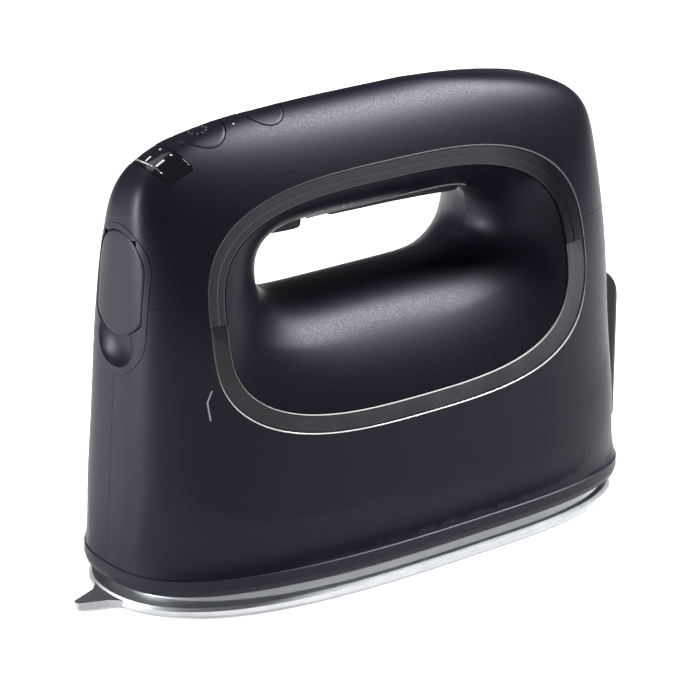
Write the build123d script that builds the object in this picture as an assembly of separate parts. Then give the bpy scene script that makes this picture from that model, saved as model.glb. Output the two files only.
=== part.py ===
from build123d import *
import math
import os

# Cordless steam iron: an egg-shaped housing with a grip opening right through it, on a
# cast and plated sole. Lengths in millimetres, +Z up, nose towards -Y, heel towards +Y.
# The origin is on the floor, under the middle of the iron's outline.

# ---- body (outside surface of the plastic housing) ----
SKIRT_TOP = 13.3            # seam between the black skirt and the housing
CROWN_Z = 144.35            # highest point of the handle
HALF_WIDTH = 43.5           # at the skirt seam
SIDE_TAPER = 0.177          # loss of half width per millimetre of height
SIDE_FLARE = 0.00054        # curvature that straightens the sides higher up
NOSE_REACH = 118.2          # from the widest line to the nose
NOSE_TAPER = 0.144
HEEL_REACH = 65.5           # from the widest line to the heel
HEEL_TAPER = -0.055
WIDEST_Y = (27.1, 18.4)     # widest line at the seam and at the crown
NOSE_ROUND = ((2.83, 3.11), (2.69, 3.94))    # exponents along y and x, seam to crown
HEEL_ROUND = ((2.8, 3.5), (4.3, 3.7))
SIDE_DOME = (80.0, 1.72, 1.67)               # start height, rise, roundness of each crown
NOSE_DOME = (109.0, 4.29, 3.93)
HEEL_DOME = (107.6, 5.14, 1.29)
LEVELS = (0, 0.13, 0.28, 0.433, 0.547, 0.631, 0.707, 0.768, 0.814,
          0.86, 0.898, 0.932, 0.959)                 # sections, as shares of the height
CROWN_LEVELS = (0.959, 0.971, 0.981, 0.989, 0.9943, 0.9985)   # closer sections at the crown
WALL = 2.4                  # housing wall
CAVITY_TOP = 138.5          # the handle is thicker along its crown
HOUSING_SEAM_Z = 96.0       # split between the lower halves and the upper housing
SEAM_GAP = 0.15

# ---- sole ----
SOLE_HALF_WIDTH = 43.0
SOLE_NOSE_Y = -91.5
SOLE_HEEL_Y = 94.0
SOLE_WIDEST_Y = 29.0
SOLE_ROUND = ((3.37, 2.25), (2.6, 3.4))
SOLE_THICK = 3.4
BEAK_TIP_Y = -102.5
CASTING_TOP = 12.0
ELEMENT_RADIUS = 3.2
ELEMENT_TRACK = 24.0        # half spacing of the heating element's legs

# ---- ring band round the grip opening, on each flank ----
BAND_OUTER = (1.7, 88.2, 70.2, 38.05)        # centre y, centre z, half length, half height
BAND_INNER = (-0.2, 88.55, 63.2, 32.35)
BAND_ROUND = 3.08
BAND_SPLIT_Z = 90.0
BAND_SUNK = 0.5
BAND_THICK = 2.7

# ---- grip opening, narrowest in the middle plane ----
WAIST_FRONT = -38.8
WAIST_REAR = 47.4
WAIST_FLOOR = 86.0
WAIST_ROOF = 108.3
LINING_WALL = 2.4
SLOT_HALF = 7.0             # finger slot under the handle

# ---- water lid on the nose ----
FRAME_HALF = 13.4
FRAME_Z = (73.1, 118.2)
LID_HALF = 11.6
LID_Z = (85.0, 116.2)
LID_AXIS = (-80.2, 113.4)   # y and z of the hinge line
LID_PIN_RADIUS = 1.0
NECK_Z = 101.0
NECK_BORE = 6.4
SEAL_Y = (-80.9, -79.8)

# ---- controls ----
TRIGGER_AXIS = (37.5, 115.0)
TRIGGER_PIN_RADIUS = 1.25
TRIGGER_HALF = 6.4
TRIGGER_Y = (-14.0, 41.0)
SLIDER_Y = (-37.7, -22.1)
RUNNING_GAP = 0.06
POWER_BUTTON = (-55.0, 8.0, 12.0)            # y, radius, tilt in degrees
STEAM_BUTTON = (-32.5, 6.9, 5.0)
BUTTON_GAP = 0.25
STEM_FOOT_Z = 132.4          # lower end of the button stems, over the tact switches

# ---- stand terminal on the heel ----
TERMINAL_HALF = 15.0
TERMINAL_REAR_Y = 102.5
TERMINAL_Z = (18.0, 68.5)

os.makedirs("parts", exist_ok=True)


def save(name, shape):
    """Write one node, as one solid or as a group of separate solids."""
    solids = shape.solids()
    body = solids[0] if len(solids) == 1 else Compound(children=list(solids))
    export_step(body, f"parts/{name}.step")


def box(x0, x1, y0, y1, z0, z1):
    size = (x1 - x0, y1 - y0, z1 - z0)
    return Pos((x0 + x1) / 2, (y0 + y1) / 2, (z0 + z1) / 2) * Box(*size)


def rod(start, end, radius):
    """Round bar between two points."""
    a, b = Vector(*start), Vector(*end)
    return Solid.make_cylinder(radius, (b - a).length, Plane(origin=a, z_dir=b - a))


def both_sides(make):
    """The same piece on the right (+X) and on the left."""
    return [make(side) for side in (1, -1)]


def egg(half_width, nose, heel, widest_y, nose_round, heel_round, count=18):
    """Closed outline of two superellipse halves that meet at the widest line."""
    right = []
    for reach, (p, q), toward in ((nose, nose_round, -1), (heel, heel_round, 1)):
        for i in range(count):
            turn = i / count if toward < 0 else 1 - i / count
            angle = math.pi / 2 * turn
            across = half_width * math.sin(angle) ** (2 / q)
            right.append((across, widest_y + toward * reach * math.cos(angle) ** (2 / p)))
    right.append((0.0, widest_y + heel))
    return right + [(-x, y) for x, y in right[-2:0:-1]]


def closed_curve(points):
    return Wire([Spline(*[Vector(*p) for p in points], periodic=True)])


def shrink(height, crown, dome):
    """Factor that closes the body in towards its crown."""
    start, rise, roundness = dome
    t = max(0.0, (height - start) / (crown - start))
    return max(0.0, 1 - t**rise) ** (1 / roundness)


def body_outline(height, inset=0.0, place=None):
    """Horizontal section of the body, moved inwards by inset, drawn at height place."""
    up = height - SKIRT_TOP
    share = min(up / (CROWN_Z - SKIRT_TOP), 1)
    crown = CROWN_Z - inset

    def blend(pair):
        return pair[0] + (pair[1] - pair[0]) * share

    width = HALF_WIDTH - SIDE_TAPER * up + SIDE_FLARE * up**2 - inset
    points = egg(
        width * shrink(height, crown, SIDE_DOME),
        (NOSE_REACH - NOSE_TAPER * up - inset) * shrink(height, crown, NOSE_DOME),
        (HEEL_REACH - HEEL_TAPER * up - inset) * shrink(height, crown, HEEL_DOME),
        blend(WIDEST_Y),
        [blend(pair) for pair in NOSE_ROUND],
        [blend(pair) for pair in HEEL_ROUND],
    )
    z = height if place is None else place
    return closed_curve([(x, y, z) for x, y in points])


def body(inset=0.0, low=SKIRT_TOP, high=CROWN_Z, below=0.0):
    """Solid inside the outside surface moved inwards; below lengthens it downwards."""
    crown = CROWN_Z - inset
    rise = crown - SKIRT_TOP
    top = min(high, SKIRT_TOP + rise * CROWN_LEVELS[0])
    heights = [SKIRT_TOP + rise * level for level in LEVELS]
    heights = [low] + [z for z in heights if low + 2 < z < top - 2] + [top]
    outlines = [body_outline(z, inset) for z in heights]
    if below:
        outlines.insert(0, body_outline(low, inset, low - below))
    solid = Solid.make_loft(outlines)
    if high < crown:
        return solid
    cap = [body_outline(SKIRT_TOP + rise * level, inset) for level in CROWN_LEVELS[:-1]]
    cap.append(body_outline(SKIRT_TOP + rise * CROWN_LEVELS[-1], inset, crown))
    return solid + stack(cap)


def sole_outline(z, side, nose=None, heel=None):
    """Outline of the sole at height z, moved inwards by side, nose and heel amounts."""
    points = egg(
        SOLE_HALF_WIDTH - side,
        SOLE_WIDEST_Y - SOLE_NOSE_Y - (side if nose is None else nose),
        SOLE_HEEL_Y - SOLE_WIDEST_Y - (side if heel is None else heel),
        SOLE_WIDEST_Y,
        *SOLE_ROUND,
    )
    return closed_curve([(x, y, z) for x, y in points])


def stack(outlines):
    return Solid.make_loft(outlines, ruled=True)


def oval(shape, grow):
    """Superellipse bar through both flanks, along X."""
    y0, z0, half_length, half_height = shape
    points = []
    steps = 36
    for i in range(steps):
        angle = 2 * math.pi * i / steps
        c, s = math.cos(angle), math.sin(angle)
        y = y0 + (half_length + grow) * math.copysign(abs(c) ** (2 / BAND_ROUND), c)
        z = z0 + (half_height + grow) * math.copysign(abs(s) ** (2 / BAND_ROUND), s)
        points.append((-60, y, z))
    return extrude(Face(closed_curve(points)), 120, dir=(1, 0, 0))


def grip_section(x, grow):
    """Upright section of the grip opening at distance x from the middle plane."""
    out = abs(x)
    front = WAIST_FRONT - 0.0348 * out**2 - grow
    rear = WAIST_REAR + 0.0162 * out**2 + grow
    floor = WAIST_FLOOR - 0.01065 * out**2.2 - grow
    roof = WAIST_ROOF + 0.0276 * out**2 + grow
    t = min(1, out / 24)
    along, upright = 8 - 4.92 * t, 2.2 + 0.88 * t
    points = []
    steps = 36
    for i in range(steps):
        angle = 2 * math.pi * (i + 0.5) / steps
        c, s = math.cos(angle), math.sin(angle)
        y = (front + rear) / 2 + (rear - front) / 2 * math.copysign(abs(c) ** (2 / along), c)
        z = (floor + roof) / 2 + (roof - floor) / 2 * math.copysign(abs(s) ** (2 / upright), s)
        points.append((x, y, z))
    return closed_curve(points)


def grip_opening(grow=0.0, reach=46):
    stations = [-reach, -38, -30, -22, -14, -7, 0, 7, 14, 22, 30, 38, reach]
    return Solid.make_loft([grip_section(x, grow) for x in stations])


def nose_stadium(half, z0, z1):
    """Upright stadium bar through the nose, along Y."""
    shape = Pos(0, -72, (z0 + z1) / 2) * Rot(90, 0, 0) * SlotOverall(z1 - z0, 2 * half, rotation=90)
    return extrude(shape, 24)


def sole_hole_places():
    """Steam holes: a double row on each side and a fan at the nose."""
    rows = [(side * x, y) for side in (1, -1) for x in (7, 14) for y in range(-30, 31, 12)]
    return rows + [(0, -42), (-9, -40), (9, -40)]


def sole_plate():
    plate = stack([
        sole_outline(0, 1.0), sole_outline(0.5, 0.25), sole_outline(1.2, 0),
        sole_outline(2.4, 0.1), sole_outline(SOLE_THICK, 0.9),
    ])
    root, tip = (13.5, -86.5), (1.5, -101.4)
    back = root[1] + 6
    beak = Wire([
        Line((-root[0], back), (root[0], back)),
        Line((root[0], back), (root[0], root[1] - 1.6)),
        ThreePointArc((root[0], root[1] - 1.6), (7.2, -91.0), (4.6, -93.6)),
        Line((4.6, -93.6), tip),
        ThreePointArc(tip, (0, BEAK_TIP_Y), (-tip[0], tip[1])),
        Line((-tip[0], tip[1]), (-4.6, -93.6)),
        ThreePointArc((-4.6, -93.6), (-7.2, -91.0), (-root[0], root[1] - 1.6)),
        Line((-root[0], root[1] - 1.6), (-root[0], back)),
    ])
    plate = plate + Pos(0, 0, 0.5) * extrude(Face(beak), 2.3, dir=(0, 0, 1))
    return plate - [rod((x, y, -1), (x, y, 5), 1.3) for x, y in sole_hole_places()]


def track(half_width, low, high):
    """U-shaped channel along the heating element: two legs and a bend at the front."""
    outer = ELEMENT_TRACK + half_width
    inner = ELEMENT_TRACK - half_width
    bend = Pos(0, -30) * (Circle(outer) - Circle(inner)) & Pos(0, -60) * Rectangle(90, 60)
    legs = Pos(0, 24) * (Rectangle(2 * outer, 108) - Rectangle(2 * inner, 108))
    return Pos(0, 0, low) * extrude(bend + legs, high - low)


def screw_places():
    return [(-32.5, 8), (32.5, 8), (-31.5, 58), (31.5, 58)]


def sole_casting():
    """Aluminium casting: groove, bright upper band, then the block inside the skirt."""
    casting = stack([
        sole_outline(SOLE_THICK, 2.2, 7.5, 6), sole_outline(4.3, 2.2, 7.5, 6),
        sole_outline(4.6, 0.8, 5.4, 4), sole_outline(6.6, 1.5, 6, 4.6),
        sole_outline(7.0, 2.4, 7, 5.4), sole_outline(7.1, 5.5, 11, 9),
        sole_outline(CASTING_TOP, 6, 12, 10),
    ])
    tools = [track(ELEMENT_RADIUS, 9 - ELEMENT_RADIUS, 13)]
    tools.append(Pos(0, -4, 9.5) * extrude(RectangleRounded(36, 84, 16), 4))
    tools += [rod((x, y, 3), (x, y, 9.6), 1.3) for x, y in sole_hole_places()]
    tools += [rod((x, y, 7), (x, y, 13), 2.0) for x, y in screw_places()]
    return casting - tools


def heating_element():
    """Steel-sheathed U with its two cold ends turned up at the heel."""
    z = 9.0
    legs = []
    for side in (1, -1):
        x = side * ELEMENT_TRACK
        legs.append(Line((x, -30, z), (x, 64, z)))
        bend = ThreePointArc((x, 64, z), (x, 68.24, z + 1.76), (x, 70, z + 6))
        legs.append(bend)
        legs.append(Line((x, 70, z + 6), (x, 70, z + 15)))
    front = ThreePointArc((-ELEMENT_TRACK, -30, z), (0, -30 - ELEMENT_TRACK, z), (ELEMENT_TRACK, -30, z))
    path = Wire([legs[5], legs[4], legs[3], front, legs[0], legs[1], legs[2]])
    start = Plane(origin=(-ELEMENT_TRACK, 70, z + 15), z_dir=(0, 0, -1))
    tube = sweep(start * Circle(ELEMENT_RADIUS - 0.1), path)
    tabs = both_sides(lambda side: box(*sorted((side * 23.6, side * 24.4)), 67, 73, z + 14.5, z + 22))
    return tube + tabs[0] + tabs[1]


def chamber_cover():
    """Pressed plate over the steam chamber, with the water inlet."""
    plate = Pos(0, -4, CASTING_TOP) * extrude(RectangleRounded(39.6, 88, 17), 0.9)
    spout = rod((0, 28, CASTING_TOP), (0, 28, 15.4), 2.6)
    return plate + spout - rod((0, 28, 11), (0, 28, 16), 1.6)


def thermistor():
    return box(-4, 4, -26, -18, 12.9, 14.0) + rod((-7, -22, 13.9), (7, -22, 13.9), 0.9)


def thermal_fuse():
    leads = rod((-14, 50, 13.0), (14, 50, 13.0), 0.4)
    return leads + rod((-6, 50, 13.0), (6, 50, 13.0), 0.98)


def base_skirt():
    """Black ring between the casting and the housing, a hair proud of both."""
    low = 7.2
    outer = stack([
        body_outline(SKIRT_TOP, 1.0, low), body_outline(SKIRT_TOP, 0.1, low + 0.7),
        body_outline(SKIRT_TOP, -0.35, low + 2.4), body_outline(SKIRT_TOP, -0.3, SKIRT_TOP - 0.5),
        body_outline(SKIRT_TOP, 0.2, SKIRT_TOP - SEAM_GAP),
    ])
    inner = stack([body_outline(SKIRT_TOP, 3.0, low - 1), body_outline(SKIRT_TOP, 3.0, SKIRT_TOP + 1)])
    return outer - inner


def heat_shield():
    """Glass-filled plate that keeps the housing off the hot casting."""
    plate = stack([body_outline(SKIRT_TOP, 3.2, 15.6), body_outline(SKIRT_TOP, 3.2, 17.0)])
    for x, y in screw_places():
        foot = rod((x, y, CASTING_TOP), (x, y, 16), 4.0)
        plate = plate + foot - rod((x, y, 11), (x, y, 18), 2.05)
    for side in (1, -1):
        plate = plate - rod((side * ELEMENT_TRACK, 70, 15), (side * ELEMENT_TRACK, 70, 18), 4.2)
    return plate - rod((0, 28, 15), (0, 28, 18), 3.2)


def base_screws():
    """Four pan-head screws that pull the shield down on the casting."""
    screws = []
    for x, y in screw_places():
        screw = rod((x, y, 7.0), (x, y, 17.0), 2.0) + rod((x, y, 17.0), (x, y, 19.2), 3.6)
        screws.append(screw - box(x - 2.4, x + 2.4, y - 0.4, y + 0.4, 18.4, 20))
    return Compound(children=[s.solids()[0] for s in screws])


def button_bar(button, grow=0.0):
    """Round bar along the travel of a button in the handle's top."""
    y, radius, tilt = button
    lean = math.radians(tilt)
    normal = (0, -math.sin(lean), math.cos(lean))
    foot = (0, y - 12 * normal[1], 141 - 12 * normal[2])
    head = (0, y + 8 * normal[1], 141 + 8 * normal[2])
    return rod(foot, head, radius + grow)


def lens_bar(grow=0.0):
    """Slanted bar that cuts the display window out of the brow."""
    shape = RectangleRounded(21 + 2 * grow, 9.5 + 2 * grow, 1.6 + grow)
    return Pos(0, -71.2, 136.6) * Rot(36, 0, 0) * Pos(0, 0, -8) * extrude(shape, 16)


def seam_flange(side, y0, y1, z0, z1):
    """Inner rib beside the middle seam, where the housing screws pass."""
    return box(*sorted((side * 0.08, side * 4.0)), y0, y1, z0, z1)


def housing_screw_places():
    return [(-80.5, 32), (-80.0, 60), (86.0, 24), (86.0, 84)]


def shell_blank(solid, cavity, band_bar):
    """Whole housing wall with every outside opening cut, before it is split."""
    shell = solid - cavity - band_bar
    shell = shell - nose_stadium(FRAME_HALF + SEAM_GAP, FRAME_Z[0] - SEAM_GAP, FRAME_Z[1] + SEAM_GAP)
    for button in (POWER_BUTTON, STEAM_BUTTON):
        shell = shell - button_bar(button, BUTTON_GAP)
    return shell - lens_bar(0.1)


def lower_housing(shell, solid, side):
    """One half of the lower housing, with its screw flanges at nose and heel."""
    x_range = sorted((side * 0.08, side * 60))
    half = shell & box(*x_range, -110, 110, SKIRT_TOP, HOUSING_SEAM_Z)
    ribs = seam_flange(side, -95, -77, 19, 68) + seam_flange(side, 82.5, 95, 19, 92)
    half = half + (ribs & solid)
    for y, z in housing_screw_places():
        half = half - rod((-6, y, z), (6, y, z), 1.3)
    for x in (-8, 0, 8):
        half = half - rod((x, 80, 40), (x, 98, 40), 2.2)
    return half


def housing_screws():
    screws = []
    for y, z in housing_screw_places():
        screw = rod((-3.8, y, z), (4.0, y, z), 1.3) + rod((4.0, y, z), (5.6, y, z), 2.6)
        screws.append(screw.solids()[0])
    return Compound(children=screws)


def grip_lining(blank, side):
    """Moulded half of the grip's inside surface, from the waist out to the band."""
    half = blank & box(*sorted((side * 0.05, side * 60)), -110, 110, 30, 140)
    return half - box(-SLOT_HALF, SLOT_HALF, -38.6, 42.6, 103, 122)


def band_piece(band, side, upper):
    z_range = (BAND_SPLIT_Z + 0.1, 150) if upper else (20, BAND_SPLIT_Z - 0.1)
    return band & box(*sorted((side * 2, side * 60)), -110, 110, *z_range)


def water_tank():
    """Clear tank that fills the housing under the saddle."""
    def block(inset, floor, top, front, rear, gap):
        levels = [floor, 36, 50, 66, top]
        solid = Solid.make_loft([body_outline(z, inset) for z in levels])
        return (solid & box(-60, 60, front, rear, 0, 100)) - grip_opening(gap)

    outside = block(4.2, 20.5, 82.0, -64.0, 56.0, 3.2)
    inside = block(5.8, 22.1, 80.4, -62.4, 54.4, 4.8)
    return outside - inside - rod((0, -54, 76), (0, -54, 84), NECK_BORE)


def fill_neck():
    """Elbow from the lid's mouth down into the tank."""
    def pipe(radius, mouth, foot):
        run = rod((0, mouth, NECK_Z), (0, -54, NECK_Z), radius)
        return run + rod((0, -54, foot), (0, -54, NECK_Z), radius) + Pos(0, -54, NECK_Z) * Sphere(radius)
    return pipe(8.0, SEAL_Y[1], 82.0) - pipe(NECK_BORE, -84, 78)


def fill_seal():
    ring = rod((0, SEAL_Y[0], NECK_Z), (0, SEAL_Y[1], NECK_Z), 8.0)
    return ring - rod((0, -83, NECK_Z), (0, -79, NECK_Z), NECK_BORE)


def lid_bar(grow=0.0):
    """Outline of the moving pad: stadium top, sides and a lower edge that dips."""
    half = LID_HALF + grow
    side_z = 90.6 - grow
    top_z = LID_Z[1] + grow
    outline = Wire([
        Line((half, -70, side_z), (half, -70, top_z - half)),
        ThreePointArc((half, -70, top_z - half), (0, -70, top_z), (-half, -70, top_z - half)),
        Line((-half, -70, top_z - half), (-half, -70, side_z)),
        ThreePointArc((-half, -70, side_z), (0, -70, LID_Z[0] - grow), (half, -70, side_z)),
    ])
    return extrude(Face(outline), 26, dir=(0, -1, 0))


def lid_frame():
    """Fixed tray round the lid: rim, back wall, finger scoop and hinge ears."""
    y, z = LID_AXIS
    low, high = 66, 124
    sleeve = body(-0.15, low, high) - body(4.6, low - 1, high + 1)
    tray = sleeve & nose_stadium(FRAME_HALF, *FRAME_Z)
    tray = tray - (lid_bar(0.3) - body(2.9, low, high))
    tray = tray - Pos(0, -88.4, 83.5) * scale(Sphere(1), (10.8, 5.6, 9.0))
    swing = [(2.5, 4.2), (4.2, 3.95), (5.6, 3.6), (6.8, 3.3), (8.2, 3.15)]
    tray = tray - [rod((-half, y, z), (half, y, z), radius) for half, radius in swing]
    tray = tray - rod((0, -90, NECK_Z), (0, -76, NECK_Z), 8.3)
    mount = box(-10.6, 10.6, y + 4.8, y + 6.2, z - 2.2, z + 2.2)
    for side in (1, -1):
        inner, outer = side * 5.7, side * 7.6
        ear = rod((inner, y, z), (outer, y, z), 2.0)
        mount = mount + ear + box(*sorted((inner, outer)), y, y + 5.4, z - 2.0, z + 2.0)
        mount = mount + box(*sorted((side * 8.5, side * 10.6)), y + 1.7, y + 5.4, z - 2.2, z + 2.0)
    return tray + mount - rod((-12, y, z), (12, y, z), LID_PIN_RADIUS)


def corner_relief(side):
    """Prism that takes the pad's upper corner away, so that it clears the frame as it swings."""
    outline = Wire([
        Line((side * 8.1, -70, 110.6), (side * 8.1, -70, 120)),
        Line((side * 8.1, -70, 120), (side * 12, -70, 120)),
        Line((side * 12, -70, 120), (side * 12, -70, 107.3)),
        Line((side * 12, -70, 107.3), (side * 8.1, -70, 110.6)),
    ])
    return extrude(Face(outline), 26, dir=(0, -1, 0))


def fill_lid():
    """Pad that swings out and up about its top edge, with barrel and stopper."""
    y, z = LID_AXIS
    pad = (body(0, 70, 122) - body(2.3, 69, 123)) & lid_bar()
    crest = box(-20, 20, -95, -70, z, z + 10) - rod((-21, y, z), (21, y, z), 3.9)
    barrel = rod((-5.5, y, z), (5.5, y, z), 2.1) + box(-5.5, 5.5, y - 2.4, y, z - 2.2, z + 0.4)
    stopper = rod((0, -83, NECK_Z), (0, -80.6, NECK_Z), 5.4)
    corners = both_sides(corner_relief)
    pad = pad - [crest] - [rod((side * 5.5, y, z), (side * 9, y, z), 2.35) for side in (1, -1)] - corners
    lid = pad + barrel + stopper
    return lid - rod((-9, y, z), (9, y, z), LID_PIN_RADIUS + RUNNING_GAP)


def fill_lid_pin():
    y, z = LID_AXIS
    return rod((-7.6, y, z), (7.6, y, z), LID_PIN_RADIUS)


def button(spec):
    """Push button: domed cap flush with the handle, and a stem for its switch."""
    y, radius, tilt = spec
    lean = math.radians(tilt)
    cap = (button_bar(spec) & body(0, 116)) - body(3.2, 115)
    down = (0, math.sin(lean), -math.cos(lean))
    base = 141.0 if spec is POWER_BUTTON else 142.6
    top = (0, y + 2.4 * down[1], base + 2.4 * down[2])
    depth = (base - STEM_FOOT_Z) / math.cos(lean)
    foot = (0, y + depth * down[1], STEM_FOOT_Z)
    return cap + rod(top, foot, 2.2)


def display_lens():
    return (lens_bar() & body(0.05, 116)) - body(1.6, 115)


def control_board():
    """Circuit board under the controls, with a tact switch below each stem."""
    board = box(-9.5, 9.5, -71, -18, 126.4, 128.0)
    for y in (-53.3, -31.9):
        board = board + box(-3, 3, y - 3, y + 3, 128.0, 131.2)
    return board - rod((7, -66, 125), (7, -66, 129), 1.2) - rod((-7, -22, 125), (-7, -22, 129), 1.2)


def indicator_leds():
    return Compound(children=[box(x - 1, x + 1, -70, -68.4, 128.0, 129.4).solids()[0] for x in (-6, 0, 6)])


def handle_carrier():
    """Inverted channel above the finger slot that carries trigger and switch."""
    y, z = TRIGGER_AXIS
    top = box(-9, 9, -36, 44, 118.8, 120)
    sides = box(-9, -7.8, -36, 44, 113.4, 119) + box(7.8, 9, -36, 44, 113.4, 119)
    return top + sides - rod((-12, y, z), (12, y, z), TRIGGER_PIN_RADIUS)


def slot_plate():
    """Cover plate between slider and trigger, slotted for the slider's stem."""
    plate = box(-SLOT_HALF, SLOT_HALF, -38.6, -15.0, 110.4, 111.4)
    return plate - box(-2.4, 2.4, -33, -20, 110, 112)


def mode_slider():
    """Ribbed knob under the handle, held by its stem and flange."""
    front, rear = SLIDER_Y
    side_view = Wire([
        Line((-6.3, front, 110.1), (-6.3, front, 108.6)),
        ThreePointArc((-6.3, front, 108.6), (-6.3, front + 1.2, 107.0), (-6.3, front + 3.4, 106.4)),
        Line((-6.3, front + 3.4, 106.4), (-6.3, rear, 106.2)),
        Line((-6.3, rear, 106.2), (-6.3, rear, 110.1)),
        Line((-6.3, rear, 110.1), (-6.3, front, 110.1)),
    ])
    knob = extrude(Face(side_view), 12.6, dir=(1, 0, 0))
    knob = knob + box(-2, 2, -32.2, -28.2, 110.0, 112.4) + box(-5, 5, -34.5, -25.5, 111.6, 112.9)
    return knob


def steam_trigger():
    """Long bar pulled up by the finger, hinged at its rear end."""
    front, rear = TRIGGER_Y
    y, z = TRIGGER_AXIS
    side_view = Wire([
        Line((-TRIGGER_HALF, front, 113), (-TRIGGER_HALF, front, 110.4)),
        Line((-TRIGGER_HALF, front, 110.4), (-TRIGGER_HALF, front + 2.6, 108.0)),
        ThreePointArc((-TRIGGER_HALF, front + 2.6, 108.0), (-TRIGGER_HALF, 12, 107.5),
                      (-TRIGGER_HALF, rear - 3.2, 106.1)),
        Line((-TRIGGER_HALF, rear - 3.2, 106.1), (-TRIGGER_HALF, rear, 108.2)),
        Line((-TRIGGER_HALF, rear, 108.2), (-TRIGGER_HALF, rear, 113)),
        Line((-TRIGGER_HALF, rear, 113), (-TRIGGER_HALF, front, 113)),
    ])
    bar = extrude(Face(side_view), 2 * TRIGGER_HALF, dir=(1, 0, 0))
    ear = box(-TRIGGER_HALF, TRIGGER_HALF, 34, 41, 112, z) + rod((-TRIGGER_HALF, y, z), (TRIGGER_HALF, y, z), 3.2)
    return bar + ear - rod((-9, y, z), (9, y, z), TRIGGER_PIN_RADIUS + RUNNING_GAP)


def trigger_pin():
    y, z = TRIGGER_AXIS
    return rod((-9, y, z), (9, y, z), TRIGGER_PIN_RADIUS)


def trigger_spring():
    """Small compression coil between the trigger and the carrier."""
    low, high, radius, wire = 113.0, 118.8, 2.3, 0.35
    height = high - low - 2 * wire
    coil = Helix(pitch=height / 4, height=height, radius=radius, center=(0, -5, low + wire))
    start = Plane(origin=coil @ 0, z_dir=coil % 0)
    return sweep(start * Circle(wire), coil, is_frenet=True)


def steam_switch():
    return box(-3, 3, 4, 18, 115.6, 118.8) + box(-1.5, 1.5, 6, 8, 115.0, 116)


def pump():
    """Magnet pump in the rear column that lifts water to the chamber."""
    drum = rod((0, 68, 54), (0, 68, 80), 8.0)
    collars = rod((0, 68, 58), (0, 68, 59.5), 8.8) + rod((0, 68, 75), (0, 68, 76.5), 8.8)
    return drum + collars + rod((0, 68, 80), (0, 68, 83), 2.4) - rod((0, 68, 52), (0, 68, 56), 1.8)


def pump_tube():
    """Silicone tube from the pump, under the tank, to the chamber cover."""
    path = FilletPolyline((0, 68, 55), (0, 68, 18.8), (0, 28, 18.8), (0, 28, 15.4), radius=[6, 3])
    return sweep(Plane(origin=(0, 68, 55), z_dir=(0, 0, -1)) * Circle(1.6), path)


def wiring():
    """Insulated bundle from the stand terminal up through the handle to the board."""
    path = FilletPolyline(
        (10, 84, 44), (10, 84, 106), (7, 66, 123.5), (6, 30, 126.0), (5, -4, 124.4), (4, -17.6, 124.2),
        radius=[10, 14, 16, 5],
    )
    return sweep(Plane(origin=(10, 84, 44), z_dir=(0, 0, 1)) * Circle(1.8), path)


def terminal_cover(solid):
    """Block on the heel that plugs on to the heating stand."""
    low, high = TERMINAL_Z
    plan = Pos(0, TERMINAL_REAR_Y - 12, 0) * extrude(RectangleRounded(2 * TERMINAL_HALF, 24, 4.2), 90)
    rear = TERMINAL_REAR_Y
    side_view = Wire([
        Line((-20, 82, low), (-20, rear - 3.5, low)),
        ThreePointArc((-20, rear - 3.5, low), (-20, rear - 0.9, low + 1.0), (-20, rear, low + 3.6)),
        Line((-20, rear, low + 3.6), (-20, rear - 1.6, 59)),
        ThreePointArc((-20, rear - 1.6, 59), (-20, rear - 4.4, 66.3), (-20, rear - 11, 71.4)),
        Line((-20, rear - 11, 71.4), (-20, 82, 73)),
        Line((-20, 82, 73), (-20, 82, low)),
    ])
    block = (extrude(Face(side_view), 40, dir=(1, 0, 0)) & plan) - solid
    block = block - box(-9.5, 9.5, rear - 5.5, rear + 2, 30, 50)
    for x in (-8, 0, 8):
        block = block - rod((x, 80, 40), (x, 104, 40), 2.2)
    return block


def contact_group():
    floor = TERMINAL_REAR_Y - 5.5
    return Compound(children=[rod((x, 85, 40), (x, floor, 40), 2.2).solids()[0] for x in (-8, 0, 8)])


def main():
    solid = body()
    cavity = body(WALL, high=CAVITY_TOP, below=4)
    shell = shell_blank(solid, cavity, oval(BAND_OUTER, SEAM_GAP))
    sleeve = body(BAND_SUNK, 44, 132) - body(BAND_SUNK + BAND_THICK, 43, 133)
    band = sleeve & (oval(BAND_OUTER, 0) - oval(BAND_INNER, 0))
    lining = body(0.8, 46, 132) & oval(BAND_INNER, -0.25) & grip_opening(LINING_WALL, 44)
    lining = lining - grip_opening()
    save("sole_plate", sole_plate())
    save("sole_casting", sole_casting())
    save("heating_element", heating_element())
    save("chamber_cover", chamber_cover())
    save("thermistor", thermistor())
    save("thermal_fuse", thermal_fuse())
    save("base_skirt", base_skirt())
    save("heat_shield", heat_shield())
    save("base_screws", base_screws())
    save("upper_housing", shell & box(-60, 60, -110, 110, HOUSING_SEAM_Z + SEAM_GAP, 150))
    for name, side in (("right", 1), ("left", -1)):
        save(f"lower_housing_{name}", lower_housing(shell, solid, side))
        save(f"grip_lining_{name}", grip_lining(lining, side))
        save(f"handle_trim_{name}", band_piece(band, side, True))
        save(f"tank_window_{name}", band_piece(band, side, False))
    save("housing_screws", housing_screws())
    save("water_tank", water_tank())
    save("fill_neck", fill_neck())
    save("fill_seal", fill_seal())
    save("fill_lid_frame", lid_frame())
    save("fill_lid", fill_lid())
    save("fill_lid_pin", fill_lid_pin())
    save("power_button", button(POWER_BUTTON))
    save("steam_button", button(STEAM_BUTTON))
    save("display_lens", display_lens())
    save("control_board", control_board())
    save("indicator_leds", indicator_leds())
    save("handle_carrier", handle_carrier())
    save("slot_plate", slot_plate())
    save("mode_slider", mode_slider())
    save("steam_trigger", steam_trigger())
    save("trigger_pin", trigger_pin())
    save("trigger_spring", trigger_spring())
    save("steam_switch", steam_switch())
    save("pump", pump())
    save("pump_tube", pump_tube())
    save("wiring", wiring())
    save("terminal_cover", terminal_cover(solid))
    save("contact_studs", contact_group())


main()
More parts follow.
